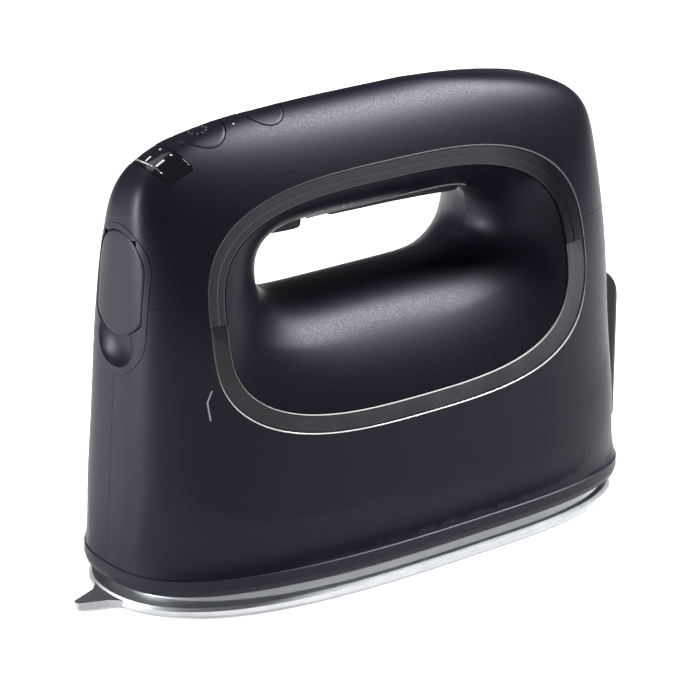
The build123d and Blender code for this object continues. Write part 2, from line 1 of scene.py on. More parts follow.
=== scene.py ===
import math
import bpy
import numpy as np
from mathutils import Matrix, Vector


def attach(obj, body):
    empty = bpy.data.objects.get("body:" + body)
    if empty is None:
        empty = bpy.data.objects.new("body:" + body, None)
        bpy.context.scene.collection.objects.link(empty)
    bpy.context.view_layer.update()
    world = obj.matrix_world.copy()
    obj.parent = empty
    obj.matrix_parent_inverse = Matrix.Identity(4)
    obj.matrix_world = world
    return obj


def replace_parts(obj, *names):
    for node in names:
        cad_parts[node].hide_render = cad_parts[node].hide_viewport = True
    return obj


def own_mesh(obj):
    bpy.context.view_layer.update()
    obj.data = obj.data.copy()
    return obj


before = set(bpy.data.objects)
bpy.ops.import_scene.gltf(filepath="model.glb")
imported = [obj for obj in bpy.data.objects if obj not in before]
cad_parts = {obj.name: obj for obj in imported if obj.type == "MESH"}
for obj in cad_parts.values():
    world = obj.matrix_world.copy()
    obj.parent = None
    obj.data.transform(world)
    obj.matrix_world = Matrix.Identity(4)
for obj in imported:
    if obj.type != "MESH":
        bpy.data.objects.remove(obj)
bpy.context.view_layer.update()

# ---- The table, the lights and the camera ----
# A white light table. One big soft box hangs over the heel and draws the sheen along the handle
# and the saddle, and a tall one stands before the nose. The room itself is dim.
MM = 0.001


def toward(azimuth, elevation):
    """Unit vector from the iron to a point at this compass angle and height angle."""
    flat = math.cos(elevation)
    return Vector((math.sin(azimuth) * flat, -math.cos(azimuth) * flat, math.sin(elevation)))


def soft_box(name, direction, distance, width, height, watts):
    lamp = bpy.data.lights.new(name, "AREA")
    lamp.shape = "RECTANGLE"
    lamp.size, lamp.size_y, lamp.energy = width, height, watts
    holder = bpy.data.objects.new(name, lamp)
    bpy.context.collection.objects.link(holder)
    way = Vector(direction).normalized()
    holder.location = Vector((0, 0, 0.07)) + way * distance
    holder.rotation_euler = way.to_track_quat("Z", "Y").to_euler()


soft_box("box_over_heel", (0.20, 0.58, 0.78), 1.3, 0.40, 0.46, 38)
soft_box("box_before_nose", (-0.30, -0.90, 0.14), 1.1, 0.26, 0.8, 32)
soft_box("box_high", (-0.6, -0.3, 1.0), 1.5, 0.8, 0.8, 3)

world = bpy.data.worlds.new("dim_studio")
world.use_nodes = True
world.node_tree.nodes["Background"].inputs["Color"].default_value = (0.9, 0.93, 1.0, 1)
world.node_tree.nodes["Background"].inputs["Strength"].default_value = 0.13
bpy.context.scene.world = world
bpy.context.scene.view_settings.view_transform = "Standard"

camera = bpy.data.objects.new("camera", bpy.data.cameras.new("camera"))
bpy.context.collection.objects.link(camera)
view_way = toward(math.radians(52.53), math.radians(20.93))
camera.location = Vector((0, -0.84, 61.68)) * MM + view_way * 0.9069
camera.rotation_euler = view_way.to_track_quat("Z", "Y").to_euler()
camera.data.lens = 151.7
camera.data.sensor_width = 36
bpy.context.scene.camera = camera


class Paint:
    """A material being put together: its node tree, its shader and short ways to add nodes."""

    def __init__(self, name, color, rough, metal=0.0, specular=0.5):
        self.material = bpy.data.materials.new(name)
        self.material.use_nodes = True
        self.tree = self.material.node_tree
        self.shader = self.tree.nodes["Principled BSDF"]
        self.shader.inputs["Base Color"].default_value = (*color, 1)
        self.shader.inputs["Roughness"].default_value = rough
        self.shader.inputs["Metallic"].default_value = metal
        self.shader.inputs["Specular IOR Level"].default_value = specular
        self.place = self.add("ShaderNodeTexCoord").outputs["Object"]

    def add(self, kind, **settings):
        node = self.tree.nodes.new(kind)
        for key, value in settings.items():
            setattr(node, key, value)
        return node

    def noise(self, scale, detail=2.0, stretch=(1, 1, 1)):
        """Cloudy pattern; scale counts its grains per metre, stretch draws it out."""
        spread = self.add("ShaderNodeMapping")
        spread.inputs["Scale"].default_value = stretch
        node = self.add("ShaderNodeTexNoise")
        node.inputs["Scale"].default_value = scale
        node.inputs["Detail"].default_value = detail
        self.tree.links.new(self.place, spread.inputs["Vector"])
        self.tree.links.new(spread.outputs["Vector"], node.inputs["Vector"])
        return node.outputs["Fac"]

    def between(self, factor, low, high, start=0.3, end=0.7):
        """A number that goes from low to high as the pattern goes from start to end."""
        node = self.add("ShaderNodeMapRange")
        for key, value in (("From Min", start), ("From Max", end), ("To Min", low), ("To Max", high)):
            node.inputs[key].default_value = value
        self.tree.links.new(factor, node.inputs["Value"])
        return node.outputs["Result"]

    def tint(self, factor, dark, light, start=0.35, end=0.65):
        """A colour that varies between two close shades with the pattern."""
        ramp = self.add("ShaderNodeValToRGB")
        ramp.color_ramp.elements[0].position = start
        ramp.color_ramp.elements[1].position = end
        ramp.color_ramp.elements[0].color = (*dark, 1)
        ramp.color_ramp.elements[1].color = (*light, 1)
        self.tree.links.new(factor, ramp.inputs["Fac"])
        self.tree.links.new(ramp.outputs["Color"], self.shader.inputs["Base Color"])

    def paint_edge_highlight(self, highlight_color, radius=0.0004):
        """Painted edge highlight: where the bevelled normal leaves the face, the colour turns lighter."""
        bevel = self.add("ShaderNodeBevel", samples=4)
        bevel.inputs["Radius"].default_value = radius
        plain = self.add("ShaderNodeNewGeometry")
        dot = self.add("ShaderNodeVectorMath", operation="DOT_PRODUCT")
        self.tree.links.new(bevel.outputs["Normal"], dot.inputs[0])
        self.tree.links.new(plain.outputs["Normal"], dot.inputs[1])
        edge = self.between(dot.outputs["Value"], 0.8, 0.0, 0.80, 0.97)
        mix = self.add("ShaderNodeMix", data_type="RGBA")
        self.tree.links.new(edge, mix.inputs["Factor"])
        before = self.shader.inputs["Base Color"].links
        if before:
            self.tree.links.new(before[0].from_socket, mix.inputs["A"])
        else:
            mix.inputs["A"].default_value = self.shader.inputs["Base Color"].default_value
        mix.inputs["B"].default_value = (*highlight_color, 1)
        self.tree.links.new(mix.outputs["Result"], self.shader.inputs["Base Color"])

    def rough(self, value):
        self.tree.links.new(value, self.shader.inputs["Roughness"])

    def bump(self, height, distance, strength=1.0):
        node = self.add("ShaderNodeBump")
        node.inputs["Distance"].default_value = distance
        node.inputs["Strength"].default_value = strength
        self.tree.links.new(height, node.inputs["Height"])
        before = self.shader.inputs["Normal"].links
        if before:
            self.tree.links.new(before[0].from_socket, node.inputs["Normal"])
        self.tree.links.new(node.outputs["Normal"], self.shader.inputs["Normal"])


bpy.ops.mesh.primitive_plane_add(size=6, location=(0, 0, 0))
floor = bpy.context.object
floor.name = "light_table"
table_white = Paint("table_white", (0.8, 0.8, 0.8), 0.7)
table_white.shader.inputs["Emission Color"].default_value = (1, 1, 1, 1)
table_white.shader.inputs["Emission Strength"].default_value = 0.36
floor.data.materials.append(table_white.material)

# ---- Housing: the handle shell and the two lower halves ----
# Injection-moulded resin, blue-black, with a fine spark-eroded satin face that breaks the light
# into a soft grainy sheen. The halves meet on the nose and the shell sits on them.


def coat(paint, *nodes):
    """Give CAD pieces their finish."""
    for node in nodes:
        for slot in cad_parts[node].material_slots:
            slot.material = paint.material


def satin(name, dark, light, grain=0.5):
    paint = Paint(name, dark, 0.38, specular=0.15)
    paint.shader.inputs["Specular Tint"].default_value = (0.84, 0.83, 1.0, 1)
    paint.tint(paint.noise(30), dark, light)
    paint.rough(paint.between(paint.noise(2100, 1), 0.33, 0.44))
    paint.bump(paint.noise(1900, 1), 0.00002, grain)
    return paint


housing_satin = satin("satin_blue_black", (0.0042, 0.0042, 0.0085), (0.0050, 0.0049, 0.0098))
# Painted highlight: the housing's edges are coloured lighter.
housing_satin.paint_edge_highlight((0.010, 0.010, 0.015))
SEAM = 13.3
CROWN = 144.35
NUDGE = 0.03        # step for measuring the slope of the body
SKIN_BAND = 0.6     # faces this near the surface belong to the outside
SAME_WAY = 0.85     # least agreement between a face and the surface


def shrink(height, crown, start, rise, roundness):
    """Factor that closes the body in towards its crown."""
    t = np.clip((height - start) / (crown - start), 0, 1)
    return np.maximum(1 - t**rise, 1e-9) ** (1 / roundness)


def fullness(x, y, z, sunk=0.0):
    """Below 1 inside the housing's outside surface, 1 on it, above 1 outside it."""
    up = np.asarray(z) - SEAM
    share = np.clip(up / (CROWN - SEAM), 0, 1)
    crown = CROWN - sunk
    half = (43.5 - 0.177 * up + 0.00054 * up**2 - sunk) * shrink(z, crown, 80, 1.72, 1.67)
    nose = (118.2 - 0.144 * up - sunk) * shrink(z, crown, 109, 4.29, 3.93)
    heel = (65.5 + 0.055 * up - sunk) * shrink(z, crown, 107.6, 5.14, 1.29)
    ahead = np.asarray(y) - (27.1 - 8.7 * share)
    front = ahead < 0
    reach = np.where(front, nose, heel)
    p = np.where(front, 2.83 - 0.14 * share, 2.8 + 1.5 * share)
    q = np.where(front, 3.11 + 0.83 * share, 3.5 + 0.2 * share)
    return (np.abs(ahead) / reach) ** p + (np.abs(x) / half) ** q


def true_skin(node, paint):
    """Copy of a housing part whose outside faces take the exact direction of the body's surface."""
    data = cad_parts[node].data.copy()
    piece = bpy.data.objects.new(f"{node}_skin", data)
    bpy.context.collection.objects.link(piece)
    data.materials.clear()
    data.materials.append(paint.material)
    spots = np.empty(len(data.vertices) * 3)
    data.vertices.foreach_get("co", spots)
    spots = spots.reshape(-1, 3) / MM
    slope = np.zeros_like(spots)
    for axis in range(3):
        step = np.zeros(3)
        step[axis] = NUDGE
        ahead, behind = spots + step, spots - step
        slope[:, axis] = fullness(*ahead.T) - fullness(*behind.T)
    steep = np.linalg.norm(slope, axis=1) + 1e-12
    near = np.abs(fullness(*spots.T) - 1) / (steep / (2 * NUDGE)) < SKIN_BAND
    slope /= steep[:, None]
    corners = np.empty(len(data.loops) * 3)
    data.corner_normals.foreach_get("vector", corners)
    corners = corners.reshape(-1, 3)
    at = np.empty(len(data.loops), int)
    data.loops.foreach_get("vertex_index", at)
    outside = near[at] & (np.sum(corners * slope[at], axis=1) > SAME_WAY)
    corners[outside] = slope[at][outside]
    data.normals_split_custom_set([tuple(c) for c in corners])
    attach(piece, "iron")
    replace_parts(piece, node)


for part in ("upper_housing", "lower_housing_right", "lower_housing_left"):
    true_skin(part, housing_satin)

# ---- Base skirt ----
# Black heat-resistant ring between the hot casting and the housing, a shade greyer and
# a little rougher than the housing above it.
skirt_black = satin("skirt_resin", (0.0075, 0.0075, 0.0125), (0.0088, 0.0087, 0.0140), 0.8)
coat(skirt_black, "base_skirt")

# ---- Sole plate and its casting ----
# Die-cast aluminium, bead-blasted on its outside edge and beak; its polished face below, where it
# slides, is given the same blasted finish here. The casting above it shows as a bright band over a dark
# groove.
blasted = Paint("blasted_aluminium", (0.50, 0.51, 0.53), 0.42, metal=1.0)
blasted.tint(blasted.noise(60), (0.46, 0.47, 0.49), (0.54, 0.55, 0.57))
blasted.rough(blasted.between(blasted.noise(1800, 1), 0.34, 0.50))
blasted.bump(blasted.noise(2600, 1), 0.00003, 0.6)
blasted.bump(blasted.noise(300, 2), 0.00002, 0.3)
coat(blasted, "sole_plate", "sole_casting")

# ---- Grip linings ----
# Each half of the grip's inside is one moulding in the same satin resin. It flows from the waist
# in the middle of the opening out to the ring on the flank, and its roof is slotted for the finger.
WAIST_FRONT, WAIST_REAR = -38.8, 47.4
WAIST_FLOOR, WAIST_ROOF = 86.0, 108.3
FLARE_REACH = 24
MOUTH = (-0.2, 88.55, 63.2, 32.35)
OVAL_POWER = 3.08
SLOT_HALF = 7.0
SLOT_ENDS = (-38.6, 42.6)
LINING_INSET = 0.8


def reach_skin(start, way, sunk=0.0, far=30.0):
    """From points inside, go along way until the housing's surface is met."""
    start = np.asarray(start, float)
    near_end = np.zeros(len(start))
    far_end = np.full(len(start), far)
    for _ in range(36):
        middle = (near_end + far_end) / 2
        spot = start + middle[:, None] * way
        inside = (fullness(spot[:, 0], spot[:, 1], spot[:, 2], sunk) < 1) & (spot[:, 2] < CROWN)
        near_end = np.where(inside, middle, near_end)
        far_end = np.where(inside, far_end, middle)
    return start + near_end[:, None] * way


def flank(y, z, sunk=0.0):
    """Half width of the housing at this place along the iron and this height."""
    y, z = np.broadcast_arrays(np.asarray(y, float), np.asarray(z, float))
    start = np.column_stack([np.zeros(y.size), y.ravel(), z.ravel()])
    return reach_skin(start, np.array([1.0, 0, 0]), sunk, 50.0)[:, 0].reshape(y.shape)


def signed_power(value, power):
    return np.sign(value) * np.abs(value) ** power


def grip_section(x):
    """Front, rear, floor, roof and the two corner powers of the opening, x out from its middle."""
    t = np.minimum(1, x / FLARE_REACH)
    front, rear = WAIST_FRONT - 0.0348 * x**2, WAIST_REAR + 0.0162 * x**2
    low, high = WAIST_FLOOR - 0.01065 * x**2.2, WAIST_ROOF + 0.0276 * x**2
    return front, rear, low, high, 8 - 4.92 * t, 2.2 + 0.88 * t


def grip_point(x, angle):
    """Point of the grip's inside surface at this distance from the middle plane."""
    front, rear, low, high, along, upright = grip_section(x)
    y = (front + rear) / 2 + (rear - front) / 2 * signed_power(np.cos(angle), 2 / along)
    z = (low + high) / 2 + (high - low) / 2 * signed_power(np.sin(angle), 2 / upright)
    return y, z


def mesh_piece(name, points, faces, paint, body, smooth=35):
    """One solid piece from points in millimetres, with smooth faces and crisp edges."""
    data = bpy.data.meshes.new(name)
    data.from_pydata([tuple(p) for p in np.asarray(points, float) * MM], [], faces)
    data.validate()
    data.update()
    piece = bpy.data.objects.new(name, data)
    bpy.context.collection.objects.link(piece)
    data.materials.append(paint.material)
    bpy.ops.object.select_all(action="DESELECT")
    piece.select_set(True)
    bpy.context.view_layer.objects.active = piece
    bpy.ops.object.mode_set(mode="EDIT")
    bpy.ops.mesh.select_all(action="SELECT")
    bpy.ops.mesh.remove_doubles(threshold=1e-7)
    bpy.ops.mesh.normals_make_consistent(inside=False)
    bpy.ops.object.mode_set(mode="OBJECT")
    bpy.ops.object.shade_smooth_by_angle(angle=math.radians(smooth))
    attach(piece, body)
    return piece


lining_satin = satin("lining_satin", (0.0042, 0.0042, 0.0085), (0.0050, 0.0049, 0.0098), 0.7)


def lining(side, name):
    """Rows run round the opening, columns from the middle plane out to the flank."""
    turns = np.linspace(0, 2 * math.pi, 192, endpoint=False) + 0.016
    reach = np.zeros(len(turns))
    outer = np.full(len(turns), 45.0)
    for _ in range(30):
        x = (reach + outer) / 2
        y, z = grip_point(x, turns)
        along = np.abs((y - MOUTH[0]) / (MOUTH[2] - 0.25)) ** OVAL_POWER
        upright = np.abs((z - MOUTH[1]) / (MOUTH[3] - 0.25)) ** OVAL_POWER
        fits = (fullness(x, y, z, LINING_INSET) < 1) & (along + upright < 1)
        reach, outer = np.where(fits, x, reach), np.where(fits, outer, x)
    y, z = grip_point(reach, turns)
    dy, dz = y - MOUTH[0], z - MOUTH[1]
    size = (np.abs(dy / MOUTH[2]) ** OVAL_POWER + np.abs(dz / MOUTH[3]) ** OVAL_POWER) ** (1 / OVAL_POWER)
    rim_y, rim_z = MOUTH[0] + dy / size * 0.994, MOUTH[1] + dz / size * 0.994
    rim_x = flank(rim_y, rim_z, LINING_INSET)
    rows = []
    columns = [np.full(len(turns), x) for x in (0.03, 3.5, SLOT_HALF)]
    steps = 30
    columns += [SLOT_HALF + (reach - SLOT_HALF) * k / steps for k in range(1, steps + 1)]
    for x in columns:
        # the mouth flares softly until it meets the ring
        py, pz = grip_point(x, turns)
        flare = (np.maximum(0, x - SLOT_HALF) / (reach - SLOT_HALF)) ** 9
        rows.append(np.column_stack([x + (rim_x - reach) * flare, py + (rim_y - y) * flare,
                                     pz + (rim_z - z) * flare]))
    rows.append(np.column_stack([rim_x - 0.15, rim_y + (rim_y - y) * 0.004, rim_z]))
    rows.append(np.column_stack([rim_x - 2.2, rim_y, rim_z]))
    grid = np.array(rows)
    count = len(turns)
    faces = []

    def slotted(i):
        middle = (grid[0, i] + grid[0, (i + 1) % count]) / 2
        return middle[2] > 100 and SLOT_ENDS[0] < middle[1] < SLOT_ENDS[1]

    for r in range(len(rows) - 1):
        for i in range(count):
            if r < 2 and slotted(i):
                continue
            j = (i + 1) % count
            faces.append((r * count + i, r * count + j, (r + 1) * count + j, (r + 1) * count + i))
    points = list(grid.reshape(-1, 3))
    slot_cells = [i for i in range(count) if slotted(i)]
    for i in slot_cells:
        j = (i + 1) % count
        base = len(points)
        points += [grid[2, i] + (0, 0, 2.4), grid[2, j] + (0, 0, 2.4)]
        faces.append((2 * count + i, 2 * count + j, base + 1, base))
    points = np.array(points)
    points[:, 0] *= side
    piece = mesh_piece(name, points, faces, lining_satin, "iron")
    return piece


for side, label in ((1, "right"), (-1, "left")):
    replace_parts(lining(side, f"lining_{label}"), f"grip_lining_{label}")

# ---- Ring arches ----
# Upper half of the ring on each flank: a smoked strip with two facets that meet in a crease, so
# light lies differently on each, and a thin polished outer edge painted lighter as a highlight.
RING_OUT = (1.7, 88.2, 70.2, 38.05)
RING_SPLIT = 90


def oval_point(shape, angle):
    """Point of a superellipse ring seen from the side: y and z."""
    y = shape[0] + shape[2] * signed_power(np.cos(angle), 2 / OVAL_POWER)
    z = shape[1] + shape[3] * signed_power(np.sin(angle), 2 / OVAL_POWER)
    return y, z


def ring_strip(name, side, profile, paint, upper):
    """Sweep a closed profile of (share of the width, depth) along half of the oval ring."""
    split = RING_SPLIT + (0.1 if upper else -0.1)
    rows = []
    steps = 150
    for share, depth in profile:
        shape = [a + (b - a) * share for a, b in zip(RING_OUT, MOUTH)]
        start = math.asin(((split - shape[1]) / shape[3]) ** (OVAL_POWER / 2))
        span = (start, math.pi - start) if upper else (math.pi - start, 2 * math.pi + start)
        y, z = oval_point(shape, np.linspace(*span, steps))
        rows.append(np.column_stack([side * (flank(y, z) - depth), y, z]))
    grid = np.array(rows)
    rounds = len(profile)
    faces = []
    for r in range(rounds):
        for i in range(steps - 1):
            s = (r + 1) % rounds
            faces.append((r * steps + i, r * steps + i + 1, s * steps + i + 1, s * steps + i))
    faces.append(tuple(r * steps for r in range(rounds)))
    faces.append(tuple(r * steps + steps - 1 for r in range(rounds)))
    return mesh_piece(name, grid.reshape(-1, 3), faces, paint, "iron", 12)


arch_grey = Paint("smoked_arch", (0.030, 0.030, 0.034), 0.26, specular=0.18)
split_place = arch_grey.add("ShaderNodeSeparateXYZ")
arch_grey.tree.links.new(arch_grey.place, split_place.inputs["Vector"])
towards_heel = arch_grey.between(split_place.outputs["Y"], 1.0, 0.0, 0.040, 0.062)
arch_grey.tint(towards_heel, (0.005, 0.005, 0.008), (0.034, 0.034, 0.038), 0.0, 1.0)
arch_grey.rough(arch_grey.between(arch_grey.noise(900, 2), 0.24, 0.30))
arch_profile = [(0.004, 2.6), (0.004, 0.30), (0.03, 0.06), (0.075, 0.04), (0.10, 0.26), (0.46, 0.20),
                (0.54, 0.26), (0.60, 0.44), (0.93, 0.42), (0.985, 0.60), (0.996, 0.9), (0.996, 2.6)]
for side, label in ((1, "right"), (-1, "left")):
    arch = ring_strip(f"ring_arch_{label}", side, arch_profile, arch_grey, True)
    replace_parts(arch, f"handle_trim_{label}")

# ---- Tank windows ----
# Lower half of the ring: glossy smoke acrylic over the tank. Both rims carry a painted highlight,
# pale low on the ring and dark higher up; the arch above has the same edge, polished, with a
# darker painted highlight.
smoke = Paint("smoke_acrylic", (0.010, 0.011, 0.014), 0.06, specular=0.2)
smoke.tint(smoke.noise(90), (0.008, 0.009, 0.012), (0.016, 0.018, 0.022))
smoke.rough(smoke.between(smoke.noise(500, 2), 0.03, 0.10))
window_profile = [(0.004, 2.6), (0.004, 0.5), (0.02, 0.32), (0.10, 0.30), (0.14, 0.42), (0.50, 0.50),
                  (0.80, 0.42), (0.84, 0.36), (0.93, 0.34), (0.985, 0.5), (0.996, 0.8), (0.996, 2.6)]
# Painted highlight: the rim beads are pale near the bottom of the ring and dark above, standing in for
# light caught on their rounded edges.
rim_highlight = Paint("acrylic_edge_painted_highlight", (0.30, 0.30, 0.31), 0.12, specular=0.7)
rim_place = rim_highlight.add("ShaderNodeSeparateXYZ")
rim_highlight.tree.links.new(rim_highlight.place, rim_place.inputs["Vector"])
highlight_low_down = rim_highlight.between(rim_place.outputs["Z"], 1.0, 0.0, 0.058, 0.078)
rim_highlight.tint(highlight_low_down, (0.05, 0.05, 0.055), (0.55, 0.54, 0.53), 0.0, 1.0)
rim_highlight.rough(rim_highlight.between(rim_highlight.noise(700, 2), 0.08, 0.18))
# Polished edge whose base colour is painted lighter than the arch, a painted highlight along its outer
# edge.
arch_edge_highlight = Paint("arch_edge_painted_highlight", (0.12, 0.12, 0.125), 0.16, specular=0.6)
arch_edge_highlight.rough(arch_edge_highlight.between(arch_edge_highlight.noise(700, 2), 0.12, 0.22))
outer_rim = [(0.006, 0.9), (0.006, 0.14), (0.025, 0.02), (0.05, 0.02), (0.065, 0.16), (0.065, 0.9)]
inner_rim = [(0.955, 0.9), (0.955, 0.26), (0.965, 0.16), (0.982, 0.16), (0.992, 0.28), (0.992, 0.9)]
for side, label in ((1, "right"), (-1, "left")):
    window = ring_strip(f"tank_window_{label}_smoke", side, window_profile, smoke, False)
    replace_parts(window, f"tank_window_{label}")
    ring_strip(f"window_rim_outer_{label}", side, outer_rim, rim_highlight, False)
    ring_strip(f"window_rim_inner_{label}", side, inner_rim, rim_highlight, False)
    ring_strip(f"arch_rim_{label}", side, outer_rim, arch_edge_highlight, True)

# ---- Lid on the nose ----
# Moulded satin pad with a hair of gap round it, in a frame with a scoop below for the fingertip.
# Behind it sit a round stopper for the filling hole and a barrel that turns on a steel pin.
lid_satin = satin("lid_satin", (0.0075, 0.0075, 0.0125), (0.0088, 0.0087, 0.0140), 0.6)
# Painted highlight: the lid pad's edges are coloured lighter.
lid_satin.paint_edge_highlight((0.02, 0.02, 0.028))

frame_satin = satin("frame_satin", (0.0048, 0.0048, 0.0092), (0.0056, 0.0055, 0.0104), 0.5)
# Painted highlight: the frame's edges are coloured lighter.
frame_satin.paint_edge_highlight((0.022, 0.022, 0.028), 0.0006)
coat(frame_satin, "fill_lid_frame")
CAP_START = 9       # how far inside the body the search for its surface starts


def tube_faces(rings, count):
    """Faces of a tube made of rings of count points each, closed at both ends."""
    faces = [(r * count + i, r * count + (i + 1) % count, (r + 1) * count + (i + 1) % count,
              (r + 1) * count + i) for r in range(rings - 1) for i in range(count)]
    return faces + [tuple(range(count)), tuple((rings - 1) * count + i for i in range(count))]


def cap(name, centre, tilt, outline, rings, paint, body):
    """Cap that follows the housing's surface: outline shrunk in rings, each at its own depth."""
    lean = math.radians(tilt)
    across = np.array([1.0, 0, 0])
    upward = np.array([0, math.cos(lean), math.sin(lean)])
    normal = np.array([0, -math.sin(lean), math.cos(lean)])
    points = []
    for scale, depth in rings:
        spots = [np.array(centre) + scale * (u * across + v * upward) - CAP_START * normal
                 for u, v in outline]
        points.append(reach_skin(spots, normal) - depth * normal)
    faces = tube_faces(len(rings), len(outline))
    return mesh_piece(name, np.concatenate(points), faces, paint, body, 40)


def circle(radius, count=64):
    return [(radius * math.cos(2 * math.pi * i / count), radius * math.sin(2 * math.pi * i / count))
            for i in range(count)]


LID_HALF = 11.6
LID_SHOULDER = 4.6
LID_SIDE = (2.3, -2.5, -6.6, -9.2)
LID_ARC = 14.81
LID_ARC_MIDDLE = -0.19
lid_outline = [(LID_HALF * math.cos(a), LID_SHOULDER + LID_HALF * math.sin(a))
               for a in np.linspace(0, math.pi, 33)]
lid_outline += [(-LID_HALF, v) for v in LID_SIDE]
lid_outline += [(LID_ARC * math.sin(a), LID_ARC_MIDDLE - LID_ARC * math.cos(a))
                for a in np.linspace(-0.88, 0.88, 27)]
lid_outline += [(LID_HALF, v) for v in reversed(LID_SIDE)]
lid_rings = [(0.86, 1.3), (0.985, 1.2), (0.998, 1.0), (0.998, 0.34), (0.990, 0.13), (0.972, 0.03),
             (0.93, 0.0), (0.8, 0.0), (0.6, 0.0), (0.4, 0.0), (0.2, 0.0), (0.04, 0.0)]
lid_pad = cap("fill_lid_pad", (0, -76, 100.0), 90, lid_outline, lid_rings, lid_satin, "fill_lid")
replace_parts(lid_pad, "fill_lid")


def turned_rod(name, start, end, profile, paint, body):
    """Round piece between two points; profile gives (share of the length, radius)."""
    a, b = np.array(start, float), np.array(end, float)
    way = (b - a) / np.linalg.norm(b - a)
    side_way = np.cross(way, (0.0, 0.0, 1.0) if abs(way[2]) < 0.9 else (1.0, 0.0, 0.0))
    side_way /= np.linalg.norm(side_way)
    third = np.cross(way, side_way)
    count = 32
    points = []
    for share, radius in profile:
        for i in range(count):
            turn = 2 * math.pi * i / count
            round_way = math.cos(turn) * side_way + math.sin(turn) * third
            points.append(a + (b - a) * share + radius * round_way)
    return mesh_piece(name, points, tube_faces(len(profile), count), paint, body)


stopper_shape = [(0, 3.6), (0, 4.9), (0.15, 5.3), (0.45, 5.38), (0.75, 5.38), (0.93, 5.2), (1, 4.8),
                 (1, 3.2)]
turned_rod("fill_lid_stopper", (0, -81.2, 101), (0, -80.6, 101), stopper_shape, lid_satin, "fill_lid")
barrel_shape = [(0, 1.2), (0, 1.9), (0.02, 2.05), (0.98, 2.05), (1, 1.9), (1, 1.2)]
turned_rod("fill_lid_barrel", (-5.4, -80.2, 113.4), (5.4, -80.2, 113.4), barrel_shape, lid_satin,
           "fill_lid")
pip_ink = Paint("lid_dot_black", (0.002, 0.002, 0.003), 0.5)
pip_ink.rough(pip_ink.between(pip_ink.noise(2500, 1), 0.42, 0.6))
dot_film = [(1.0, 0.03), (1.0, -0.02), (0.9, -0.03), (0.3, -0.03)]
cap("lid_dot", (0, -76, 99.4), 90, circle(0.34, 14), dot_film, pip_ink, "fill_lid")

# ---- Push buttons ----
# Two round caps, flush with the handle's top, in the housing's resin. The edges are rounded, the
# faces lightly dished. The front one carries a ring of raised dots to find by touch.
button_satin = satin("button_satin", (0.0045, 0.0045, 0.0088), (0.0052, 0.0051, 0.0100), 0.5)
# Painted highlight: the button caps' rounded edges are coloured lighter.
button_satin.paint_edge_highlight((0.05, 0.05, 0.058), 0.0004)
button_rings = [(0.999, 3.0), (0.999, 0.40), (0.990, 0.20), (0.965, 0.07), (0.92, 0.02), (0.86, 0.03),
                (0.7, 0.05), (0.5, 0.07), (0.3, 0.08), (0.12, 0.08), (0.03, 0.08)]
POWER_PLACE, POWER_TILT = (0, -55.0, 141.0), 12.0
STEAM_PLACE, STEAM_TILT = (0, -32.5, 142.6), 5.0
for label, place, radius, tilt in (("power_button", POWER_PLACE, 8.0, POWER_TILT),
                                   ("steam_button", STEAM_PLACE, 6.9, STEAM_TILT)):
    key = cap(f"{label}_cap", place, tilt, circle(radius), button_rings, button_satin, label)
    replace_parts(key, label)
dot_grey = Paint("dot_grey", (0.035, 0.035, 0.04), 0.4)
dot_grey.rough(dot_grey.between(dot_grey.noise(2000, 1), 0.35, 0.5))
bead_rings = [(1.0, 0.24), (0.94, 0.05), (0.7, -0.09), (0.35, -0.16), (0.1, -0.18)]
DOTS = 10
DOT_REACH = 2.7
for i in range(DOTS):
    turn = 2 * math.pi * i / DOTS
    lean = math.radians(POWER_TILT)
    middle = (DOT_REACH * math.cos(turn), POWER_PLACE[1] + DOT_REACH * math.sin(turn) * math.cos(lean),
              POWER_PLACE[2] + DOT_REACH * math.sin(turn) * math.sin(lean))
    cap(f"power_dot_{i}", middle, POWER_TILT, circle(0.34, 12), bead_rings, dot_grey, "power_button")

# ---- Display window ----
# Dark glossy acrylic let into the brow of the handle, with white printed marks: a line under
# three rising level bars and a row of dots. Two more dots stand between the push buttons.


def rounded_rectangle(width, height, radius, steps=8):
    corners = []
    for cx, cy, first in ((1, 1, 0), (-1, 1, 90), (-1, -1, 180), (1, -1, 270)):
        for i in range(steps + 1):
            a = math.radians(first + 90 * i / steps)
            corners.append((cx * (width / 2 - radius) + radius * math.cos(a),
                            cy * (height / 2 - radius) + radius * math.sin(a)))
    outline = []
    for (u, v), (next_u, next_v) in zip(corners, corners[1:] + corners[:1]):
        pieces = max(1, round(math.hypot(next_u - u, next_v - v) / 0.8))
        outline += [(u + (next_u - u) * k / pieces, v + (next_v - v) * k / pieces) for k in range(pieces)]
    return outline


lens_gloss = Paint("display_acrylic", (0.004, 0.004, 0.006), 0.08, specular=0.5)
lens_gloss.rough(lens_gloss.between(lens_gloss.noise(400, 3), 0.05, 0.13))
lens_rings = [(0.999, 1.4), (0.999, 0.10), (0.990, 0.03), (0.96, 0.01), (0.85, 0.01), (0.7, 0.01),
              (0.55, 0.01), (0.4, 0.01), (0.25, 0.01), (0.1, 0.01)]
LENS_PLACE, LENS_TILT = (0, -71.2, 136.6), 36
lens = cap("display_window", LENS_PLACE, LENS_TILT, rounded_rectangle(20.8, 9.3, 1.5), lens_rings,
           lens_gloss, "iron")
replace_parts(lens, "display_lens")
print_white = Paint("print_white", (0.42, 0.42, 0.44), 0.5)
print_white.tint(print_white.noise(2500, 1), (0.34, 0.34, 0.36), (0.5, 0.5, 0.52))


